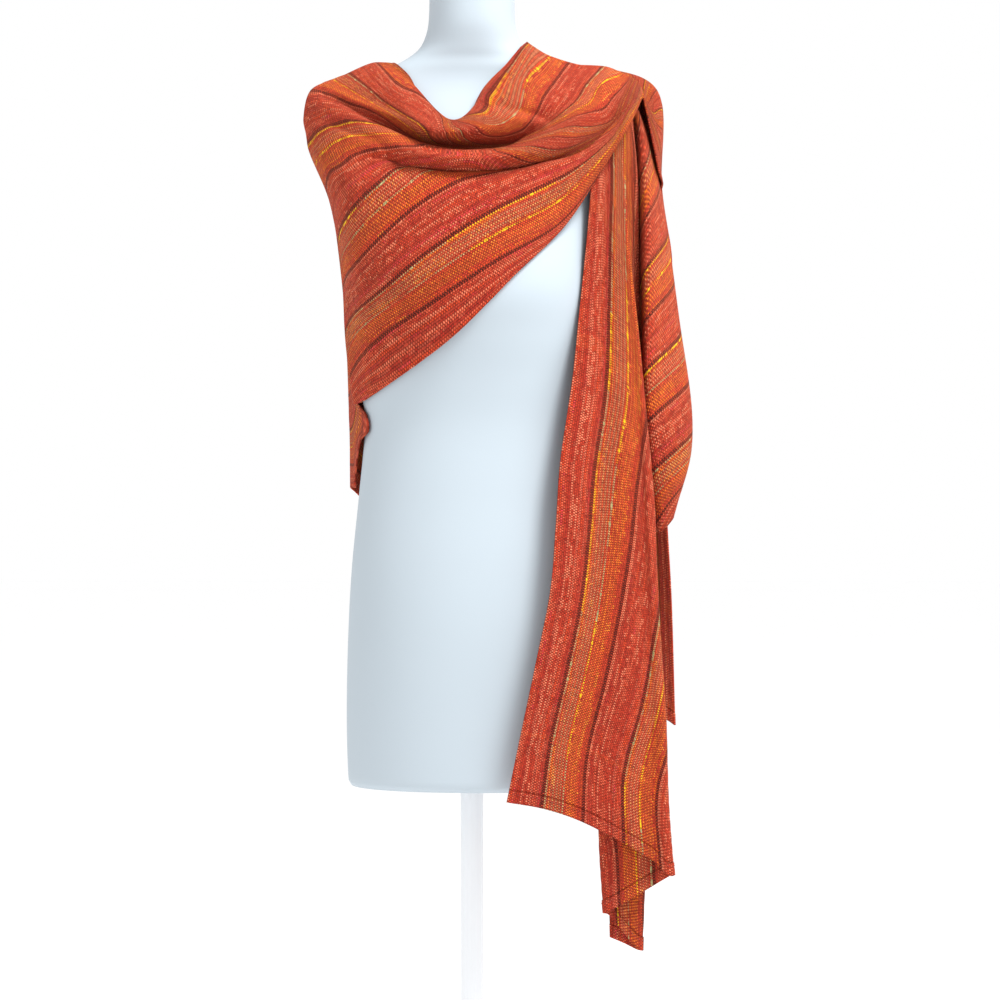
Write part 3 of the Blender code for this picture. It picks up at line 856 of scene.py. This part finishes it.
def woven(name):
    """The striped plain weave, read from the metres on the UV map."""
    g = Graph(name)
    metres = g.node("ShaderNodeUVMap", {"uv_map": "cloth"})
    flat_along, flat_across, _ = g.split(metres)
    wander = g.noise(g.point(flat_along * 26, flat_across * 240), 1.0, 1.0)
    beat = g.noise(g.point(flat_along * 240, flat_across * 26, 7.0), 1.0, 1.0)
    across = flat_across + (wander - 0.5) * WANDER
    along = flat_along + (beat - 0.5) * BEAT

    # The chequer of domes: one for each crossing of an end and a pick
    picks = along / PICK
    ends = across / END
    pick = picks.maths("FLOOR")
    end = ends.maths("FLOOR")
    warp_up = (pick + end) % 2
    pick_dome = ((picks - pick - 0.5) * (math.pi * 0.96)).maths("COSINE")
    end_dome = ((ends - end - 0.5) * (math.pi * 0.96)).maths("COSINE")
    crown = (pick_dome * end_dome).maths("MAXIMUM", 0.0) ** 0.8
    cell = g.chance(pick, end)

    # Where a point lies in the stripe plan: its field's number and its place p past the dark ends
    x = across / MM
    repeats = (x - SELVEDGE) / REPEAT
    number = repeats.maths("FLOOR")
    p = (repeats - number) * REPEAT
    in_field = (x > SELVEDGE) * (x < FIELD_END + 2 * END_MM)
    orange_field = (1 - number % 2) * (x > SELVEDGE) * (x < FIELD_END)
    red_field = in_field * (1 - orange_field)
    second_line = p > 15

    def band(low, high):
        """Where p lies between two values in an orange field."""
        return (p > low) * (p < high) * orange_field

    def near(centre, reach):
        """The strip of cloth round a value of p."""
        return (p - centre).maths("ABSOLUTE") < reach

    # The tone of each end, which changes a little along it
    dyeing = g.noise(g.point(along * 9, end * 3.7), 1.0)
    mottle = g.noise(g.point(along * 42, end * 7.3), 1.0) - 0.5
    tone = g.chance(end) * 0.80 + dyeing * 0.5 + mottle * 0.70 - 0.15
    grouped = g.noise(g.point(end * 0.31, 3.0), 1.0, 0.0)
    red = g.mix((grouped > 0.57) * 0.6, g.steps(tone, RED_YARNS), CRIMSON)
    warm = g.mix((grouped < 0.42) * 0.7, g.steps(tone, WARM_YARNS), BRICK)
    warp = g.mix(orange_field, red, warm)
    even_ends = end % 2 < 0.5
    cool = g.mix(g.chance(number + 11) > 0.5, SAGE, SAND)
    warp = g.mix(band(*COOL_BAND) * (0.12 + even_ends * 0.32), warp, cool)
    warp = g.mix(band(*HONEY_BAND) * (0.15 + even_ends * 0.35), warp, HONEY)

    # Single slub ends that come and go, and the beads on them
    slub = g.noise(g.point(along * 130, number * 3.3 + second_line * 1.7), 1.0, 3.0)
    changing = g.noise(g.point(along * 4, number * 2.3 + second_line * 5.1), 1.0, 1.0)
    bead_colour = g.mix(changing > 0.5, GOLD, SAGE)
    showing = g.noise(g.point(along * 60, number * 4.1 + second_line * 3.3), 1.0, 1.0)
    shown = 0.30 + (showing > 0.43) * 0.5
    first, second = SLUB_LINES
    slub_lines = (near(first, HALF_END) + near(second, HALF_END)) * orange_field * shown
    swollen = (near(first, BEAD_REACH) + near(second, BEAD_REACH)) * orange_field * (slub > 0.60)
    warp = g.mix(slub_lines, warp, bead_colour)
    pale = near(PALE_LINE, HALF_END) * red_field
    lumps = near(PALE_LINE, LUMP_REACH) * red_field * (slub > 0.64)
    for place in SELVEDGE_LINES:
        pale = pale + ((x - place).maths("ABSOLUTE") < HALF_END)
    warp = g.mix(pale * shown, warp, PEACH)
    dark = (p < 2 * END_MM) * in_field
    warp = g.mix(dark, warp, DARK)

    # The rust weft, and the light and shade of each dome
    shots = g.noise(g.point(along * 34, 0.5), 1.0, 2.0)
    weft = g.mix(g.chance(pick + 4000), WEFT, WEFT_DEEP)
    weft = g.mix((shots > 0.62) * 0.22, weft, ORANGE)
    thread = g.mix(warp_up, weft, warp)
    thread = g.mix(swollen, thread, bead_colour)
    thread = g.mix(lumps, thread, PEACH)
    fuzz = g.noise(g.point(along, across), 1100.0, 3.0)
    uneven = cell - 0.5
    shade = 0.24 + 0.86 * crown + warp_up * 0.24 + uneven * 0.45 + (fuzz - 0.5) * 0.3
    colour = g.mix(1.0, thread, shade, "MULTIPLY")
    height = crown + (swollen + lumps) * 1.2 + fuzz * 0.3 + uneven * 0.3
    g.shader.inputs["Sheen Weight"].default_value = 0.20
    g.shader.inputs["Sheen Roughness"].default_value = 0.5
    g.shader.inputs["Sheen Tint"].default_value = dye(250, 150, 96)
    g.shader.inputs["Specular IOR Level"].default_value = 0.2
    return g.finish(colour, 0.92, height, distance=0.0006, strength=1.0)


cloth_material = woven("handwoven_cloth")
for piece in dressed.values():
    piece.data.materials.append(cloth_material)
print("woven cloth ready")

# %% [markdown]
# The hems' stitches are a twisted sewing thread in the colour of the brick yarn.

# %% Sewing thread
def sewing_thread(name, colour):
    """Twisted sewing thread."""
    g = Graph(name)
    place = g.node("ShaderNodeTexCoord", {}, out=3)
    twist = g.noise(place, 1500.0, 2.0)
    return g.finish(g.mix(twist, colour, DARK), 0.7, twist, distance=0.0001, strength=0.6)


for stitches, slot in ((front_stitches, "front_hem_cloth"), (back_stitches, "back_hem_cloth")):
    stitches.data.materials.append(sewing_thread(stitches.name + "_thread", BRICK))
    print(stitches.name, "sewn")

# %% [markdown]
# The form's cover is a plain matt white, and the stand is painted metal.

# %% Form and stand finishes
def painted(name, colour, roughness, grain, depth):
    """A plain finish with a faint grain."""
    g = Graph(name)
    place = g.node("ShaderNodeTexCoord", {}, out=3)
    speckle = g.noise(place, grain, 4.0)
    cloudy = g.noise(place, 9.0, 2.0)
    lighter = tuple(min(1.0, channel * 1.03) for channel in colour[:3])
    tint = g.mix(cloudy, colour, (*lighter, 1.0))
    rough = roughness + (speckle - 0.5) * 0.12
    return g.finish(tint, rough, speckle, distance=depth, strength=0.5)


form.data.materials.append(painted("form_cover", dye(176, 187, 195), 0.62, 700.0, 0.0001))
finishes = {"neck_cap": painted("cap_lacquer", dye(226, 228, 230), 0.35, 500.0, 0.00005),
            "form_pole": painted("pole_enamel", dye(222, 224, 227), 0.30, 500.0, 0.00005),
            "form_collar": painted("collar_enamel", dye(222, 224, 227), 0.32, 500.0, 0.00005),
            "form_base": painted("base_enamel", dye(226, 228, 230), 0.34, 500.0, 0.00005)}
for node, material in finishes.items():
    part = frame["nodes"][node]
    part.data.materials.clear()
    part.data.materials.append(material)
    print(node, "gets", material.name)

# %% [markdown]
# The floor is a wide white sheet, and the light is soft: a bright even world, a large lamp high in front
# on the right, and a weaker one behind. The camera stands at the photograph's height and far enough back
# for its flat perspective.

# %% Studio
def lamp(name, place, target, size, power):
    """A square lamp that faces a point."""
    light = bpy.data.lights.new(name, "AREA")
    light.shape = "SQUARE"
    light.size = size
    light.energy = power
    holder = bpy.data.objects.new(name, light)
    bpy.context.scene.collection.objects.link(holder)
    holder.location = place
    holder.rotation_euler = (Vector(target) - Vector(place)).to_track_quat("-Z", "Y").to_euler()


FLOOR_SIZE = 30.0
floor_mesh = bmesh.new()
bmesh.ops.create_grid(floor_mesh, x_segments=2, y_segments=2, size=FLOOR_SIZE)
floor_data = bpy.data.meshes.new("studio_floor")
floor_mesh.to_mesh(floor_data)
floor_mesh.free()
floor = bpy.data.objects.new("studio_floor", floor_data)
bpy.context.scene.collection.objects.link(floor)
floor.data.materials.append(painted("studio_floor", dye(255, 255, 255), 0.9, 60.0, 0.0001))

world = bpy.context.scene.world or bpy.data.worlds.new("studio")
bpy.context.scene.world = world
world.use_nodes = True
sky = world.node_tree.nodes["Background"]
sky.inputs["Color"].default_value = (1.0, 1.0, 1.0, 1.0)
sky.inputs["Strength"].default_value = 1.0

CHEST_MIDDLE = (0, 0, 1.1)
lamp("key", (1.3, -1.3, 3.5), CHEST_MIDDLE, 0.9, 112)
lamp("back", (0.6, 2.8, 2.6), CHEST_MIDDLE, 2.0, 12)

SUBJECT_WIDTH = 1.10
SENSOR = 36
eye = bpy.data.cameras.new("photo_camera")
eye.sensor_width = SENSOR
eye.lens = -SENSOR * EYE[1] / SUBJECT_WIDTH
camera = bpy.data.objects.new("photo_camera", eye)
bpy.context.scene.collection.objects.link(camera)
camera.location = EYE
camera.rotation_euler = (math.radians(90), 0, 0)
bpy.context.scene.camera = camera
bpy.context.scene.view_settings.view_transform = "Standard"
